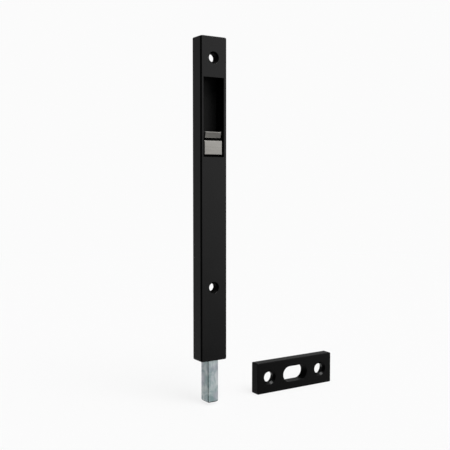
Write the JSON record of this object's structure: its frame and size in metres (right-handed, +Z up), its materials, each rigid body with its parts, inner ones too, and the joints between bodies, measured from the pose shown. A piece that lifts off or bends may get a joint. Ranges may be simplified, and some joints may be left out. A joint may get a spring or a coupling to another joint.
{
  "type": "toggle bolt latch",
  "caption": "Slim surface-mounted bolt latch: a thumb lever in a finger window slides a square bolt out of the end of a black channel housing; with a slotted strike plate.",
  "frame": {"origin": "centre of the housing's back, on the plane that lies on the door", "axes": "+X to the right along the front face, +Y into the door, +Z up along the housing, away from the bolt's tip"},
  "size_m": [0.1173, 0.0108, 0.2508],
  "materials": {
    "housing_paint": "black satin powder coat",
    "strike_paint": "black satin powder coat",
    "black_steel": "black e-coated sheet steel",
    "black_fastener": "black oxide",
    "nylon": "natural moulded nylon",
    "bright_steel": "bright zinc plate",
    "rubber": "moulded black rubber",
    "bolt_zinc": "bright zinc plate with fine drawn streaks",
    "link_zinc": "zinc-plated strip",
    "acetal": "moulded black acetal",
    "spring_steel": "tempered spring steel",
    "satin_nickel": "satin nickel plate"
  },
  "bodies": {
    "base": {"housing": "housing_paint", "back_plate": "black_steel", "back_plate_screw_1": "black_fastener", "back_plate_screw_2": "black_fastener", "back_plate_screw_3": "black_fastener", "back_plate_screw_4": "black_fastener", "guide_cheek_left": "nylon", "guide_cheek_right": "nylon", "guide_screw_left": "bright_steel", "guide_screw_right": "bright_steel", "stop_buffer": "rubber", "strike_plate": "strike_paint"},
    "slider": {"bolt": "bolt_zinc", "connecting_link": "link_zinc", "link_screw": "bright_steel", "link_rivet_1": "bright_steel", "link_rivet_2": "bright_steel", "carriage": "acetal", "toggle_pin": "bright_steel", "toggle_spring": "spring_steel", "detent_leaf": "spring_steel"},
    "toggle": {"toggle_lever": "satin_nickel"}
  },
  "joints": [
    {"name": "bolt_slide", "type": "slide", "parent": "base", "child": "slider", "axis": [0, 0, 1], "range_m": [0, 0.029], "deforming": ["detent_leaf"]},
    {"name": "toggle_rock", "type": "hinge", "parent": "slider", "child": "toggle", "pos_m": [0, -0.0069, 0.0413], "axis": [-1, 0, 0], "range_deg": [0, 20], "stiffness_Nm_per_rad": 0.02, "springref_deg": -11.46, "deforming": ["toggle_spring"]}
  ]
}
